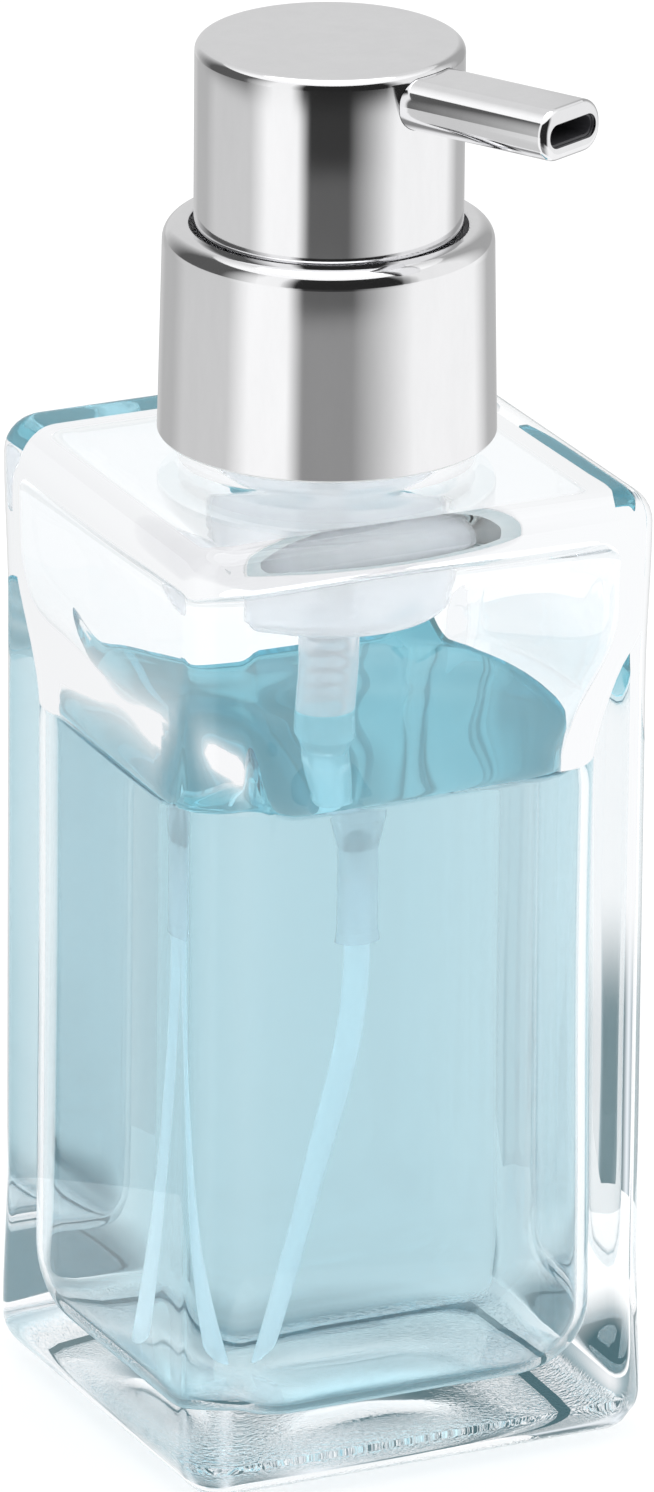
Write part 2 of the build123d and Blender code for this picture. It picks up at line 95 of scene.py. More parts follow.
CREEP = ((45, 6 * MM), (135, 10 * MM), (-135, 8 * MM), (-45, 2 * MM))   # corner in degrees, climb there
CREEP_SPREAD = 5.0                       # degrees
SPRING_R = 2.75 * MM
SPRING_WIRE_R = 0.28 * MM
SPRING_TURNS = 10
SPRING_SEGMENTS = 28
SPRING_SIDES = 8
PUSH_UP_HALF = 26 * MM                   # the shallow dome under the base
PUSH_UP_HEIGHT = 2.2 * MM
PUSH_UP_EDGE = 0.5 * MM
STANDING_RING_HEIGHT = 0.08 * MM
WALL_STEP = 2.2 * MM                     # spacing of the hollow's sections
RIPPLE_DEPTH = 0.22 * MM
RIPPLE_RUN = 17 * MM
SWELL_RUN = 70 * MM
WAVE_HEIGHT = 0.22 * MM


def section_angles():
    """Directions of a section's points: close together where the corners turn."""
    octant = [i * 37.0 / 11 for i in range(11)] + [37.0 + i * 8.0 / 9 for i in range(9)]
    quarter = octant + [45.0] + [90 - a for a in reversed(octant[1:])]
    return [math.radians(q * 90 + a) for q in range(4) for a in quarter]


ANGLES = section_angles()


def rounded_square(angle, half, corner):
    """Distance from the centre to the outline of a rounded square, in one direction."""
    c, s = abs(math.cos(angle)), abs(math.sin(angle))
    flat = half - corner
    if half * min(c, s) / max(c, s) <= flat:
        return half / max(c, s)
    reach = flat * (c + s)
    return reach + math.sqrt(max(reach * reach - 2 * flat * flat + corner * corner, 0))


def smooth(t):
    t = min(max(t, 0.0), 1.0)
    return t * t * (3 - 2 * t)


def ring(half, corner, height, shape=None):
    """One section's points; shape(angle, height) adds to the distance from the axis."""
    points = []
    for angle in ANGLES:
        reach = rounded_square(angle, half, min(corner, half))
        if shape:
            reach += shape(angle, height)
        points.append((reach * math.cos(angle), reach * math.sin(angle), height))
    return points


def skin(name, rings, bottom, top):
    """A closed mesh through rings of equal length, capped by a fan to a point at each end."""
    verts = [bottom] + [p for r in rings for p in r] + [top]
    n = len(rings[0])
    faces = [(0, 1 + (i + 1) % n, 1 + i) for i in range(n)]
    for k in range(len(rings) - 1):
        a, b = 1 + k * n, 1 + (k + 1) * n
        faces += [(a + i, a + (i + 1) % n, b + (i + 1) % n, b + i) for i in range(n)]
    last = 1 + (len(rings) - 1) * n
    faces += [(last + i, last + (i + 1) % n, len(verts) - 1) for i in range(n)]
    mesh = bpy.data.meshes.new(name)
    mesh.from_pydata(verts, [], faces)
    mesh.validate()
    for face in mesh.polygons:
        face.use_smooth = True
    piece = bpy.data.objects.new(name, mesh)
    bpy.context.scene.collection.objects.link(piece)
    return piece


def steps(start, end, count):
    return [start + (end - start) * i / count for i in range(count + 1)]


def waist(height):
    """How far the outside panels are drawn in at one height."""
    from_heel = smooth((height - HEEL_R) / WAIST_RUN)
    from_shoulder = smooth((SHOULDER_Z - SHOULDER_R - height) / WAIST_RUN)
    return WAIST * min(from_heel, from_shoulder)


def thread(angle, height):
    """Rise of the right-handed neck thread over the neck."""
    rise = 0.0
    for turn in range(math.ceil(THREAD_TURNS) + 1):
        along = angle / math.tau + turn
        if 0 <= along <= THREAD_TURNS:
            off = abs(height - THREAD_START - THREAD_PITCH * along)
            fade = smooth(min(along, THREAD_TURNS - along) * 14)
            rise = max(rise, THREAD_RISE * fade * smooth((THREAD_FOOT / 2 - off) / (0.35 * THREAD_FOOT)))
    return rise


def ripple(angle, height):
    """The uneven inside of the pressed glass: long slow waves that differ from wall to wall."""
    wall = 2 * math.sin(angle + 0.6) + math.cos(2 * angle)
    return RIPPLE_DEPTH * math.sin(height / RIPPLE_RUN + wall)


def flare(height):
    low, high = CAVITY_FLARE
    return smooth((height - low) / (high - low))


def cavity_half(height):
    return CAVITY_HALF + (CAVITY_TOP_HALF - CAVITY_HALF) * flare(height)


def cavity_corner(height):
    return CAVITY_CORNER_R + (CAVITY_TOP_CORNER_R - CAVITY_CORNER_R) * flare(height)


def floor_ring(turn, grow=0.0):
    """A section of the rounding between the hollow's floor and its wall; turn runs from 0 to 90 degrees."""
    inset = CAVITY_FLOOR_R * (1 - math.sin(turn)) - grow * math.sin(turn)
    height = CAVITY_FLOOR + CAVITY_FLOOR_R * (1 - math.cos(turn))
    corner = max(CAVITY_CORNER_R - inset, 1.0 * MM)
    return ring(CAVITY_HALF - inset, corner, height - grow * math.cos(turn),
                lambda a, z: ripple(a, z) * math.sin(turn) ** 2)


def cavity_rings(high, grow=0.0):
    """Rings from the middle of the hollow's floor up its wall to one height."""
    rings = []
    inner = CAVITY_HALF - CAVITY_FLOOR_R
    for share in (0.06, 0.3, 0.6, 0.85):
        half = inner * share
        rings.append(ring(half, half * (1 - 0.8 * share), CAVITY_FLOOR - grow))
    rings += [floor_ring(turn, grow) for turn in steps(0, math.pi / 2, 10)]
    start = CAVITY_FLOOR + CAVITY_FLOOR_R
    for height in steps(start, high, round((high - start) / WALL_STEP))[1:]:
        rings.append(ring(cavity_half(height) + grow, cavity_corner(height) + grow, height, ripple))
    return rings


def bottle_glass():
    rings = []
    # under the base: a shallow dome inside the flat standing ring
    for share in (0.08, 0.3, 0.55, 0.8, 0.95, 1.0):
        height = PUSH_UP_HEIGHT * math.cos(share * math.pi / 2) + PUSH_UP_EDGE
        half = PUSH_UP_HALF * share
        rings.append(ring(half, half * (1 - 0.75 * share), height))
    rings.append(ring(PUSH_UP_HALF + 0.6 * MM, CORNER_R, STANDING_RING_HEIGHT))
    rings.append(ring(PUSH_UP_HALF + 1.0 * MM, CORNER_R, 0.0))
    for turn in steps(0, math.pi / 2, 10):
        inset = HEEL_R * (1 - math.sin(turn))
        rings.append(ring(HALF - inset, CORNER_R - inset, HEEL_R * (1 - math.cos(turn))))
    for height in steps(HEEL_R, SHOULDER_Z - SHOULDER_R, 58)[1:]:
        rings.append(ring(HALF - waist(height), CORNER_R, height))
    for turn in steps(0, math.pi / 2, 8)[1:]:
        inset = SHOULDER_R * (1 - math.cos(turn))
        rings.append(ring(HALF - inset, CORNER_R - inset,
                          SHOULDER_Z - SHOULDER_R * (1 - math.sin(turn))))
    foot = NECK_R + NECK_FOOT_R
    flat = HALF - SHOULDER_R
    for share in (0.12, 0.35, 0.65, 0.88, 1.0):
        half = flat + (foot - flat) * share
        rings.append(ring(half, CORNER_R + (half - CORNER_R) * smooth(share * 1.1), SHOULDER_Z))
    for turn in steps(0, math.pi / 2, 5)[1:]:
        out = NECK_FOOT_R * (1 - math.sin(turn))
        rings.append(ring(NECK_R + out, NECK_R + out, SHOULDER_Z + NECK_FOOT_R * (1 - math.cos(turn))))
    for height in steps(SHOULDER_Z + NECK_FOOT_R, NECK_TOP - LIP_R, 44)[1:]:
        rings.append(ring(NECK_R, NECK_R, height, thread))
    for turn in steps(0, math.pi / 2, 4)[1:]:
        radius = NECK_R - LIP_R * (1 - math.cos(turn))
        rings.append(ring(radius, radius, NECK_TOP - LIP_R * (1 - math.sin(turn))))
    for turn in steps(math.pi / 2, 0, 4):
        radius = BORE_R + LIP_R * (1 - math.cos(turn))
        rings.append(ring(radius, radius, NECK_TOP - LIP_R * (1 - math.sin(turn))))
    for height in steps(NECK_TOP - LIP_R, CAVITY_CEILING + THROAT_R, 6)[1:]:
        rings.append(ring(BORE_R, BORE_R, height))
    for turn in steps(0, math.pi / 2, 8)[1:]:
        radius = BORE_R + THROAT_R * (1 - math.cos(turn))
        rings.append(ring(radius, radius, CAVITY_CEILING + THROAT_R * (1 - math.sin(turn))))
    inner = CAVITY_TOP_HALF - CAVITY_CEILING_R
    edge = BORE_R + THROAT_R
    corner = CAVITY_TOP_CORNER_R - CAVITY_CEILING_R
    for share in (0.2, 0.5, 0.8):
        half = edge + (inner - edge) * share
        rings.append(ring(half, half + (corner - half) * smooth(share), CAVITY_CEILING))
    for turn in steps(0, math.pi / 2, 7):
        out = CAVITY_CEILING_R * math.sin(turn)
        drop = CAVITY_CEILING_R * (1 - math.cos(turn))
        rings.append(ring(inner + out, corner + out, CAVITY_CEILING - drop,
                          lambda a, z, turn=turn: ripple(a, z) * math.sin(turn) ** 2))
    rings += list(reversed(cavity_rings(CAVITY_CEILING - CAVITY_CEILING_R)))[1:]
    piece = skin("glass_bottle", rings, (0, 0, PUSH_UP_HEIGHT + PUSH_UP_EDGE), (0, 0, CAVITY_FLOOR))
    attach(piece, "bottle")
    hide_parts("bottle")
    return piece


def swell(x, y):
    """Height of the soap's surface over its level: a slow swell towards the back and small waves."""
    back = smooth(0.5 + (0.43 * x + 0.90 * y) / SWELL_RUN)
    waves = math.sin(x / (4.1 * MM) + 0.8 * math.sin(y / (5.0 * MM))) * math.sin(y / (5.7 * MM) + 1.0)
    calm = smooth((CAVITY_HALF - max(abs(x), abs(y))) / (6 * MM))
    return SWELL * back + WAVE_HEIGHT * waves * calm


def creep(x, y, inset):
    """Soap drawn up the corners of the hollow by surface tension."""
    angle = math.degrees(math.atan2(y, x))
    rise = sum(height * math.exp(-((angle - corner) / CREEP_SPREAD) ** 2) for corner, height in CREEP)
    return rise * math.exp(-inset / (1.0 * MM))


def surface_ring(inset):
    """A ring of the soap's surface; it climbs the glass at the edge."""
    climb = MENISCUS * math.exp(-inset / (0.7 * MM))
    half = CAVITY_HALF + SOAP_OVERLAP - inset
    shape = ripple if inset < 6 * MM else None
    rim = ring(half, max(CAVITY_CORNER_R - inset, half * 0.3), SOAP_LEVEL, shape)
    return [(x, y, z + climb + swell(x, y) + creep(x, y, inset)) for x, y, z in rim]


def soap():
    brim = surface_ring(0.0)
    rings = cavity_rings(SOAP_LEVEL - 4 * MM, SOAP_OVERLAP)
    for share in (0.35, 0.7):
        rings.append([tuple(a + (b - a) * share for a, b in zip(p, q)) for p, q in zip(rings[-1], brim)])
    rings.append(brim)
    fine = [0.25, 0.55, 0.95, 1.5, 2.3, 3.4]
    rings += [surface_ring(inset * MM) for inset in fine + [3.4 + 1.25 * i for i in range(1, 20)]]
    piece = skin("liquid_soap", rings, (0, 0, CAVITY_FLOOR - SOAP_OVERLAP),
                 (0, 0, SOAP_LEVEL + swell(0, 0)))
    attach(piece, "bottle")
    return piece


def return_spring():
    """A wire coil in the CAD spring's place: coils close up at both ends, more of them at the top."""
    low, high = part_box("return_spring")
    start, end = low.z + SPRING_WIRE_R, high.z - SPRING_WIRE_R
    points = []
    for i in range(SPRING_TURNS * SPRING_SEGMENTS + 1):
        share = i / (SPRING_TURNS * SPRING_SEGMENTS)
        open_pitch = smooth(share * 5) * smooth((1 - share) * 3.2)
        points.append((share, 0.12 + open_pitch))
    total = sum(pitch for _, pitch in points[1:])
    verts, faces, climbed = [], [], 0.0
    for k, (share, pitch) in enumerate(points):
        climbed += pitch / total if k else 0.0
        turn = math.tau * SPRING_TURNS * share
        height = start + (end - start) * climbed
        for j in range(SPRING_SIDES):
            around = math.tau * j / SPRING_SIDES
            reach = SPRING_R + SPRING_WIRE_R * math.cos(around)
            verts.append((reach * math.cos(turn), reach * math.sin(turn),
                          height + SPRING_WIRE_R * math.sin(around)))
    for k in range(len(points) - 1):
        for j in range(SPRING_SIDES):
            a, b = k * SPRING_SIDES + j, k * SPRING_SIDES + (j + 1) % SPRING_SIDES
            faces.append((a, a + SPRING_SIDES, b + SPRING_SIDES, b))
    faces.append(tuple(range(SPRING_SIDES)))
    faces.append(tuple(reversed(range(len(verts) - SPRING_SIDES, len(verts)))))
    mesh = bpy.data.meshes.new("coil_spring")
    mesh.from_pydata(verts, [], faces)
    mesh.validate()
    for face in mesh.polygons:
        face.use_smooth = len(face.vertices) == 4
    piece = bpy.data.objects.new("coil_spring", mesh)
    bpy.context.scene.collection.objects.link(piece)
    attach(piece, "pump_engine")
    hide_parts("return_spring")
    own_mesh(piece)
    return piece


# ---------------------------------------------------------------- materials
PLASTIC_IOR = 1.3                        # lower than real plastic's, which is about 1.5
def new_material(name, **values):
    """A Principled material with values set on its own sockets."""
    material = bpy.data.materials.new(name)
    material.use_nodes = True
    shader = material.node_tree.nodes["Principled BSDF"]
    for key, value in values.items():
        shader.inputs[key.replace("_", " ")].default_value = value
    return material, material.node_tree, shader


def absorb(tree, colour, density):
    volume = tree.nodes.new("ShaderNodeVolumeAbsorption")
    volume.inputs["Color"].default_value = (*colour, 1)
    volume.inputs["Density"].default_value = density
    tree.links.new(volume.outputs[0], tree.nodes["Material Output"].inputs["Volume"])


def paint(piece, material):
    piece.data.materials.clear()
    piece.data.materials.append(material)


def paint_node(node, material):
    for slot in frame["nodes"][node].material_slots:
        slot.material = material


def noise(tree, scale, detail=3.0, roughness=0.5, stretch=(1, 1, 1)):
    """Noise in the object's own coordinates; scale is in grains per metre."""
    place = tree.nodes.new("ShaderNodeTexCoord")
    mapping = tree.nodes.new("ShaderNodeMapping")
    mapping.inputs["Scale"].default_value = stretch
    texture = tree.nodes.new("ShaderNodeTexNoise")
    texture.inputs["Scale"].default_value = scale
    texture.inputs["Detail"].default_value = detail
    texture.inputs["Roughness"].default_value = roughness
    tree.links.new(place.outputs["Object"], mapping.inputs["Vector"])
    tree.links.new(mapping.outputs["Vector"], texture.inputs["Vector"])
    return texture.outputs["Fac"]


def spread(tree, factor, low, high):
    """A factor from 0 to 1 mapped to the range low to high."""
    node = tree.nodes.new("ShaderNodeMapRange")
    node.inputs["To Min"].default_value = low
    node.inputs["To Max"].default_value = high
    tree.links.new(factor, node.inputs["Value"])
    return node.outputs[0]


def bump(tree, shader, height, distance, strength=1.0):
    """Raise the surface by height times distance, in metres."""
    node = tree.nodes.new("ShaderNodeBump")
    node.inputs["Distance"].default_value = distance
    if isinstance(strength, float):
        node.inputs["Strength"].default_value = strength
    else:
        tree.links.new(strength, node.inputs["Strength"])
    tree.links.new(height, node.inputs["Height"])
    tree.links.new(node.outputs[0], shader.inputs["Normal"])


def shade_between(tree, shader, factor, first, second):
    """Base colour that varies between two colours."""
    colour = blend(tree, factor, tuple(first), tuple(second))
    tree.links.new(colour, shader.inputs["Base Color"])


def height_mask(tree, low, high):
    """1 below the height low, 0 above the height high."""
    place = tree.nodes.new("ShaderNodeTexCoord")
    parts = tree.nodes.new("ShaderNodeSeparateXYZ")
    tree.links.new(place.outputs["Object"], parts.inputs[0])
    node = tree.nodes.new("ShaderNodeMapRange")
    node.interpolation_type = "SMOOTHSTEP"
    node.inputs["From Min"].default_value = low
    node.inputs["From Max"].default_value = high
    node.inputs["To Min"].default_value = 1.0
    node.inputs["To Max"].default_value = 0.0
    tree.links.new(parts.outputs[2], node.inputs["Value"])
    return node.outputs[0]


def glass_material():
    """Pressed clear glass: faint tint, smooth sides and a stippled standing ring."""
    material, tree, shader = new_material(
        "clear_glass", Base_Color=(0.985, 0.995, 1.0, 1), Roughness=0.0, IOR=1.5, Transmission_Weight=1.0)
    shade_between(tree, shader, noise(tree, 30), (0.955, 0.975, 0.985), (0.985, 0.995, 1.0))
    stipple = noise(tree, 1400, 2.0)
    bump(tree, shader, stipple, 0.0004, height_mask(tree, 0.6 * MM, 2.6 * MM))
    return material


def soap_material(name, tint, glow):
    """Clear coloured soap; tint and glow are what its skin adds to the colour of its depth, and the glow is
    painted light, a teal emission.
    """
    # The emission is a painted teal glow; glow sets its strength.
    material, tree, _ = new_material(
        name, Base_Color=(*tint, 1), Roughness=0.0, IOR=1.33, Transmission_Weight=1.0,
        Emission_Color=(0.2, 0.62, 0.72, 1), Emission_Strength=glow)
    absorb(tree, (0.05, 0.50, 0.60), 13.5)
    return material


def chrome_material():
    """Bright plating over a drawn shell: faint waviness, and a haze that varies."""
    material, tree, shader = new_material(
        "chrome", Base_Color=(0.88, 0.88, 0.89, 1), Metallic=1.0, Roughness=0.06)
    haze = noise(tree, 90, 5.0, 0.6, (1, 1, 0.45))
    tree.links.new(spread(tree, haze, 0.035, 0.11), shader.inputs["Roughness"])
    streaks = noise(tree, 260, 4.0, 0.65, (1, 1, 0.3))
    shade_between(tree, shader, streaks, (0.84, 0.84, 0.85), (0.92, 0.92, 0.93))
    bump(tree, shader, noise(tree, 110, 2.0, 0.5, (1, 1, 0.5)), 0.00003, 0.5)
    return material


def milky(name, colour, transmission, roughness, glow):
    """Translucent natural plastic with faint flow marks; the glow stands in for light scattered in it."""
    material, tree, shader = new_material(
        name, Base_Color=(*colour, 1), Roughness=roughness, IOR=PLASTIC_IOR, Transmission_Weight=transmission,
        Emission_Color=(*colour, 1), Emission_Strength=glow)
    cloud = noise(tree, 240, 4.0, 0.6, (1, 1, 0.35))
    shade_between(tree, shader, cloud, [c * 0.93 for c in colour], [min(c * 1.02, 1.0) for c in colour])
    tree.links.new(spread(tree, noise(tree, 500), roughness * 0.75, roughness * 1.25),
                   shader.inputs["Roughness"])
    bump(tree, shader, noise(tree, 900, 2.0), 0.00003, 0.3)
    return material


def plain(name, colour, roughness, metallic=0.0):
    """Opaque stuff with a fine grain: slight changes of shade, gloss and height."""
    material, tree, shader = new_material(
        name, Base_Color=(*colour, 1), Roughness=roughness, Metallic=metallic)
    shade_between(tree, shader, noise(tree, 300, 4.0), [c * 0.9 for c in colour],
                  [min(c * 1.05, 1.0) for c in colour])
    tree.links.new(spread(tree, noise(tree, 700), roughness * 0.7, min(roughness * 1.3, 1.0)),
                   shader.inputs["Roughness"])
    bump(tree, shader, noise(tree, 2000.0, 3.0), 0.03 * MM, 0.5)
    return material


def woven(name, colour, thread=0.18 * MM):
    """Fine woven screen: two crossed sets of threads raise the disc, and painted shade darkens the low gaps
    between them.
    """
    material, tree, shader = new_material(name, Base_Color=(*colour, 1), Roughness=0.6)
    waves = []
    for direction in ("X", "Y"):
        place = tree.nodes.new("ShaderNodeTexCoord")
        wave = tree.nodes.new("ShaderNodeTexWave")
        wave.bands_direction = direction
        wave.inputs["Scale"].default_value = 0.05 / thread
        tree.links.new(place.outputs["Object"], wave.inputs["Vector"])
        waves.append(wave.outputs["Fac"])
    weave = link_maths(tree, "MULTIPLY", *waves)
    # Painted shade: the low gaps of the weave drop to 0.55 of the colour.
    shade_between(tree, shader, weave, [c * 0.55 for c in colour], colour)
    bump(tree, shader, weave, thread / 3)
    return material


# ---------------------------------------------------------------- camera, floor and light
CAMERA_AZIMUTH = -25.47                  # degrees; the bottle's nearest corner is a little left of centre
CAMERA_ELEVATION = 20.19
CAMERA_ROLL = 0.51
CAMERA_LENS = 388.5
CAMERA_DISTANCE = 2225.16 * MM
CAMERA_AIM = 95.72 * MM                  # height it looks at
CAMERA_ASIDE = 0.4 * MM


def camera():
    azimuth, elevation = math.radians(CAMERA_AZIMUTH), math.radians(CAMERA_ELEVATION)
    back = Vector((math.sin(azimuth) * math.cos(elevation), -math.cos(azimuth) * math.cos(elevation),
                   math.sin(elevation)))
    right = Vector((math.cos(azimuth), math.sin(azimuth), 0))
    data = bpy.data.cameras.new("camera")
    data.lens = CAMERA_LENS
    data.sensor_width = 36.0
    data.clip_start = 0.1
    piece = bpy.data.objects.new("camera", data)
    bpy.context.scene.collection.objects.link(piece)
    piece.location = Vector((0, 0, CAMERA_AIM)) + back * CAMERA_DISTANCE + right * CAMERA_ASIDE
    roll = math.radians(CAMERA_ROLL)
    up = back.cross(right)
    turned = right * math.cos(roll) + up * math.sin(roll)
    upright = -right * math.sin(roll) + up * math.cos(roll)
    piece.rotation_mode = "QUATERNION"
    piece.rotation_quaternion = Matrix((turned, upright, back)).transposed().to_quaternion()
    bpy.context.scene.camera = piece


def link_maths(tree, operation, first, second=None):
    """One maths node; each input is a socket or a number."""
    node = tree.nodes.new("ShaderNodeMath")
    node.operation = operation
    for socket, value in zip(node.inputs, (first, second)):
        if isinstance(value, (int, float)):
            socket.default_value = value
        elif value is not None:
            tree.links.new(value, socket)
    return node.outputs[0]


def ramp(tree, position, stops):
    """Grey value round the tent; stops are (degrees, value) from -180 to 180 in rising order."""
    node = tree.nodes.new("ShaderNodeValToRGB")
    elements = node.color_ramp.elements
    elements.remove(elements[1])
    elements[0].position = (stops[0][0] + 180) / 360
    elements[0].color = (stops[0][1],) * 3 + (1,)
    for where, value in stops[1:]:
        elements.new((where + 180) / 360).color = (value,) * 3 + (1,)
    tree.links.new(position, node.inputs[0])
    return node.outputs[0]


TENT_RADIUS = 0.11
TENT_TOP = 0.40
TENT_SIDES = 96
TENT_SOFTEN = 0.0025                     # half the height over which one level fades into the next
# panels above the softboxes and overhead, as (from, to, brightness); degrees run from the
# camera's direction, to the right
HORIZON = [(-180, -145, 0.7), (-110, -70, 0.1), (-45, -30, 1.0), (-20, 45, 0.02), (60, 100, 0.9),
           (125, 145, 0.4), (165, 180, 0.7)]
OVERHEAD = [(-180, -140, 0.75), (-90, 90, 1.1), (140, 180, 0.75)]
# colour round the tent's foot for light from inside the glass; 0 and 1 are straight behind
FOOT_STOPS = [(0.0, (0.05, 0.12, 0.14)), (0.02, (0.08, 0.17, 0.20)), (0.04, (0.9, 0.95, 1.0)),
              (0.055, (0.04, 0.11, 0.13)), (0.08, (0.35, 0.46, 0.5)), (0.095, (0.97, 0.97, 0.98)),
              (0.86, (0.97, 0.97, 0.98)), (0.88, (0.3, 0.45, 0.5)), (0.9, (1, 1, 1)),
              (0.93, (0.08, 0.18, 0.22)), (0.96, (0.8, 0.88, 0.92)), (0.98, (0.10, 0.2, 0.24)),
              (1.0, (0.05, 0.12, 0.14))]
FOOT_FADE = (0.026, 0.046)               # heights between which the foot gives way to white


def softboxes(gap):
    """Panels round the object at one height; the gap between the two boxes is in front of it."""
    return [(-180, -150, 0.6), (-140, -120, 0.5), (-105, -65, 0.65), (-50, -25, 1.05), (-15, 15, gap),
            (55, 110, 1.0), (130, 150, 0.5), (165, 180, 0.6)]


# each level's upper edge in metres, and its panels; the gap is darker further up
TENT_LEVELS = [(0.14, softboxes(0.3)), (0.155, softboxes(0.12)), (0.165, softboxes(0.04)),
               (0.285, HORIZON), (0.40, OVERHEAD)]


def panel_edges(panels):
    """Both edges of each panel with its brightness; between panels the light fades evenly."""
    return [(edge, brightness) for start, end, brightness in panels for edge in (start, end)]


def blend(tree, factor, first, second):
    """A colour mixed from two; each is a socket or an RGB value."""
    mix = tree.nodes.new("ShaderNodeMix")
    mix.data_type = "RGBA"
    tree.links.new(factor, mix.inputs["Factor"])
    for name, colour in (("A", first), ("B", second)):
        if isinstance(colour, tuple):
            mix.inputs[name].default_value = (*colour, 1)
        else:
            tree.links.new(colour, mix.inputs[name])
    return mix.outputs["Result"]


def rise_between(tree, value, low, high):
    """0 below low, 1 above high, smooth between."""
    node = tree.nodes.new("ShaderNodeMapRange")
    node.interpolation_type = "SMOOTHSTEP"
    node.inputs["From Min"].default_value = low
    node.inputs["From Max"].default_value = high
    tree.links.new(value, node.inputs["Value"])
    return node.outputs[0]


def through_glass(tree):
    """1 for light that has already gone through glass, else 0."""
    path = tree.nodes.new("ShaderNodeLightPath")
    return link_maths(tree, "GREATER_THAN", path.outputs["Transmission Depth"], 0.5)


def glass_surround(tree, around, height):
    """What light trapped in the glass meets: white walls over a darker, blue-green foot."""
    foot = tree.nodes.new("ShaderNodeValToRGB")
    elements = foot.color_ramp.elements
    elements[0].position, elements[0].color = 0.0, (*FOOT_STOPS[0][1], 1)
    elements[1].position, elements[1].color = 1.0, (*FOOT_STOPS[-1][1], 1)
    for where, colour in FOOT_STOPS[1:-1]:
        elements.new(where).color = (*colour, 1)
    tree.links.new(around, foot.inputs[0])
    rise = rise_between(tree, height, *FOOT_FADE)
    return blend(tree, rise, foot.outputs[0], (0.97, 0.975, 0.985))


def tent_material():
    """Light and dark bands for the metal to mirror, and a paler pattern for light from inside glass."""
    material = bpy.data.materials.new("light_tent")
    material.use_nodes = True
    tree = material.node_tree
    tree.nodes.clear()
    place = tree.nodes.new("ShaderNodeTexCoord")
    parts = tree.nodes.new("ShaderNodeSeparateXYZ")
    tree.links.new(place.outputs["Object"], parts.inputs[0])
    turn = link_maths(tree, "ARCTAN2", parts.outputs[1], parts.outputs[0])
    around = link_maths(tree, "MULTIPLY_ADD", turn, 1 / math.tau)
    around.node.inputs[2].default_value = 0.5
    height = parts.outputs[2]
    colour = ramp(tree, around, panel_edges(TENT_LEVELS[0][1]))
    for (edge, _), (_, panels) in zip(TENT_LEVELS, TENT_LEVELS[1:]):
        share = rise_between(tree, height, edge - TENT_SOFTEN, edge + TENT_SOFTEN)
        colour = blend(tree, share, colour, ramp(tree, around, panel_edges(panels)))
    colour = blend(tree, through_glass(tree), colour, glass_surround(tree, around, height))
    glow = tree.nodes.new("ShaderNodeEmission")
    tree.links.new(colour, glow.inputs["Color"])
    output = tree.nodes.new("ShaderNodeOutputMaterial")
    tree.links.new(glow.outputs[0], output.inputs["Surface"])
    return material


def light_tent():
    """A round wall of soft light close to the metal, seen only in reflections.

    The softboxes stand left and right of the camera and the gap between them is dark.
    """
    verts, faces = [], []
    for i in range(TENT_SIDES):
        turn = math.tau * i / TENT_SIDES
        verts += [(TENT_RADIUS * math.cos(turn), TENT_RADIUS * math.sin(turn), z) for z in (0.0, TENT_TOP)]
        j = (i + 1) % TENT_SIDES
        faces.append((2 * i, 2 * j, 2 * j + 1, 2 * i + 1))
    mesh = bpy.data.meshes.new("light_tent")
    mesh.from_pydata(verts, [], faces)
    mesh.materials.append(tent_material())
    tent = bpy.data.objects.new("light_tent", mesh)
    bpy.context.scene.collection.objects.link(tent)
    tent.rotation_euler.z = math.radians(CAMERA_AZIMUTH - 90)
    tent.visible_camera = False
    tent.visible_diffuse = False
    tent.visible_transmission = False
    tent.visible_volume_scatter = False
    tent.visible_shadow = False


FLOOR_SIZE = 6.0
BASE_SHADE = (0.036, 0.050)              # distance from the axis over which the floor's shade ends


def studio_floor():
    """A pale floor, shaded under the base for light that comes through the glass."""
    size = FLOOR_SIZE
    mesh = bpy.data.meshes.new("floor")
    mesh.from_pydata([(-size, -size, 0), (size, -size, 0), (size, size, 0), (-size, size, 0)], [],
                     [(0, 1, 2, 3)])
    floor = bpy.data.objects.new("floor", mesh)
    bpy.context.scene.collection.objects.link(floor)
    material, tree, shader = new_material(
        "floor", Base_Color=(0.3, 0.3, 0.3, 1), Roughness=1.0, Specular_IOR_Level=0.0,
        Emission_Color=(1, 1, 1, 1), Emission_Strength=0.70)
    place = tree.nodes.new("ShaderNodeTexCoord")
    reach = tree.nodes.new("ShaderNodeVectorMath")
    reach.operation = "LENGTH"
    tree.links.new(place.outputs["Object"], reach.inputs[0])
    shade = tree.nodes.new("ShaderNodeValToRGB")
    elements = shade.color_ramp.elements
    elements[0].position, elements[0].color = BASE_SHADE[0], (0.04, 0.12, 0.145, 1)
    elements[1].position, elements[1].color = BASE_SHADE[1], (1, 1, 1, 1)
    tree.links.new(reach.outputs["Value"], shade.inputs[0])
    colour = blend(tree, through_glass(tree), (1, 1, 1), shade.outputs[0])
    tree.links.new(colour, shader.inputs["Emission Color"])
    paint(floor, material)


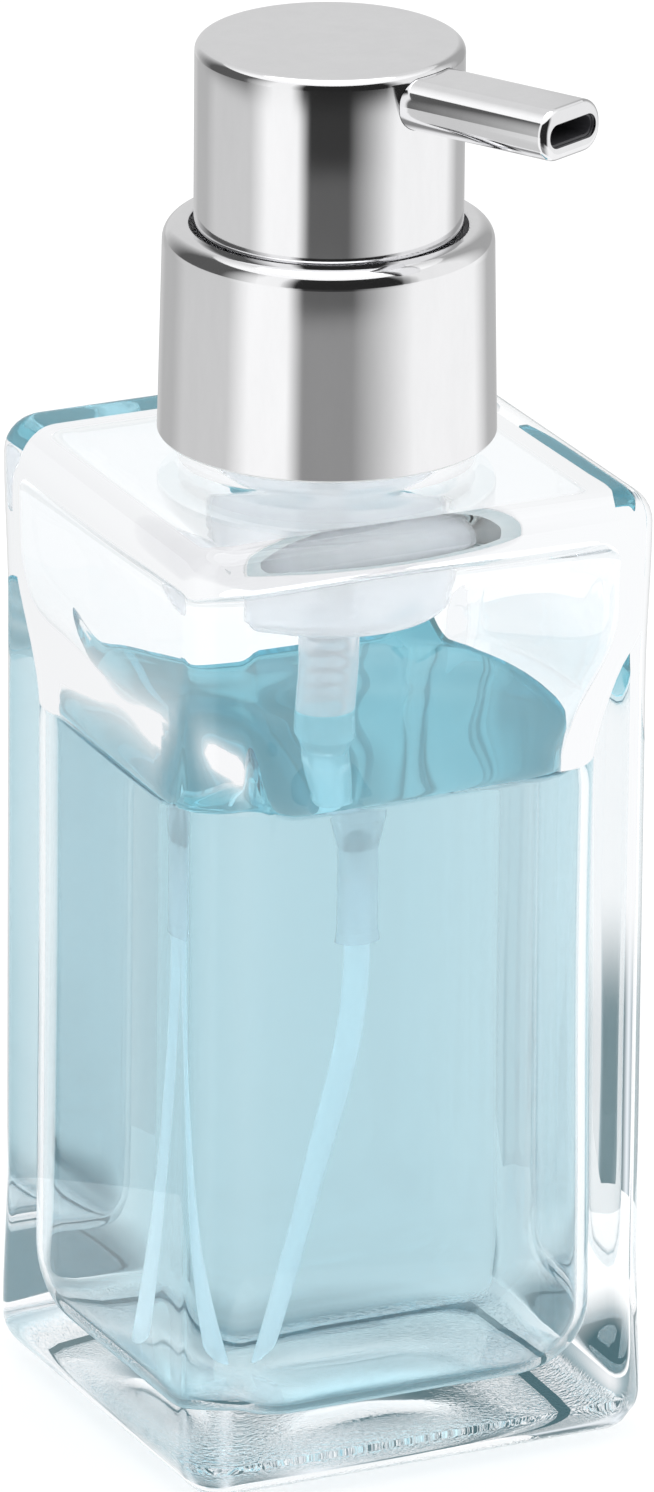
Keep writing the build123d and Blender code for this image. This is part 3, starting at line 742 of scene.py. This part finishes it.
def studio_world():
    """Soft light all round: a little greyer in front of the object, and brighter overhead."""
    world = bpy.data.worlds.new("studio")
    bpy.context.scene.world = world
    world.use_nodes = True
    tree = world.node_tree
    background = tree.nodes["Background"]
    direction = tree.nodes.new("ShaderNodeTexCoord")
    facing = tree.nodes.new("ShaderNodeVectorMath")
    facing.operation = "DOT_PRODUCT"
    azimuth = math.radians(CAMERA_AZIMUTH)
    facing.inputs[1].default_value = (-math.sin(azimuth), math.cos(azimuth), 0)
    tree.links.new(direction.outputs["Generated"], facing.inputs[0])
    shade = tree.nodes.new("ShaderNodeValToRGB")
    elements = shade.color_ramp.elements
    elements[0].position, elements[0].color = 0.0, (0.80, 0.81, 0.83, 1)
    elements[1].position, elements[1].color = 1.0, (1, 1, 1, 1)
    elements.new(0.42).color = (0.90, 0.905, 0.93, 1)
    elements.new(0.62).color = (1, 1, 1, 1)
    place = link_maths(tree, "MULTIPLY_ADD", facing.outputs["Value"], 0.5)
    place.node.inputs[2].default_value = 0.5
    tree.links.new(place, shade.inputs[0])
    tree.links.new(shade.outputs[0], background.inputs["Color"])
    parts = tree.nodes.new("ShaderNodeSeparateXYZ")
    tree.links.new(direction.outputs["Generated"], parts.inputs[0])
    overhead = rise_between(tree, parts.outputs[2], 0.45, 0.95)
    overhead.node.inputs["To Min"].default_value = 1.0
    overhead.node.inputs["To Max"].default_value = 1.9
    tree.links.new(overhead, background.inputs["Strength"])


def render_settings():
    scene = bpy.context.scene
    scene.view_settings.view_transform = "Standard"
    scene.cycles.max_bounces = 48
    scene.cycles.transmission_bounces = 48
    scene.cycles.glossy_bounces = 24
    scene.cycles.blur_glossy = 0.0
    scene.cycles.transparent_max_bounces = 16


light_tent()
camera()
studio_floor()
studio_world()
render_settings()
GLASS = bottle_glass()
paint(GLASS, glass_material())
GLASS.visible_glossy = False             # light trapped in the thick walls sees the studio directly
SOAP = soap()
paint(SOAP, soap_material("blue_soap", (1, 1, 1), 0.0))
# The upper faces of the soap get a painted teal glow, standing in for deep soap seen from above.
SOAP.data.materials.append(soap_material("soap_surface_painted_glow", (0.6, 0.9, 0.95), 0.33))
for face in SOAP.data.polygons:
    if face.center.z > SOAP_LEVEL - 1 * MM and face.normal.z > 0.2:
        face.material_index = 1
SPRING = return_spring()

CHROME = chrome_material()
NATURAL = milky("natural_plastic", (0.95, 0.96, 0.975), 0.68, 0.1, 0.04)
TUBE = milky("tube_plastic", (0.92, 0.97, 1.0), 0.5, 0.15, 0.12)
WHITE = plain("white_plastic", (0.9, 0.9, 0.885), 0.4)
STEEL = plain("spring_steel", (0.6, 0.6, 0.6), 0.25, 1.0)
RUBBER = plain("seal_rubber", (0.8, 0.8, 0.78), 0.6)
MESH = woven("screen_mesh", (0.88, 0.88, 0.88))
DARK = plain("liner_plastic", (0.05, 0.05, 0.055), 0.4)
SLOT_MATERIALS = {
    "chrome": CHROME, "natural_plastic": NATURAL, "tube_plastic": TUBE, "white_plastic": WHITE,
    "spring_steel": STEEL, "ball_steel": STEEL, "seal_rubber": RUBBER, "screen_mesh": MESH,
    "liner_plastic": DARK,
}
paint(SPRING, STEEL)
for part in frame["record"]["subparts"]:
    if part["material_slot"] in SLOT_MATERIALS:
        paint_node(part["node"], SLOT_MATERIALS[part["material_slot"]])
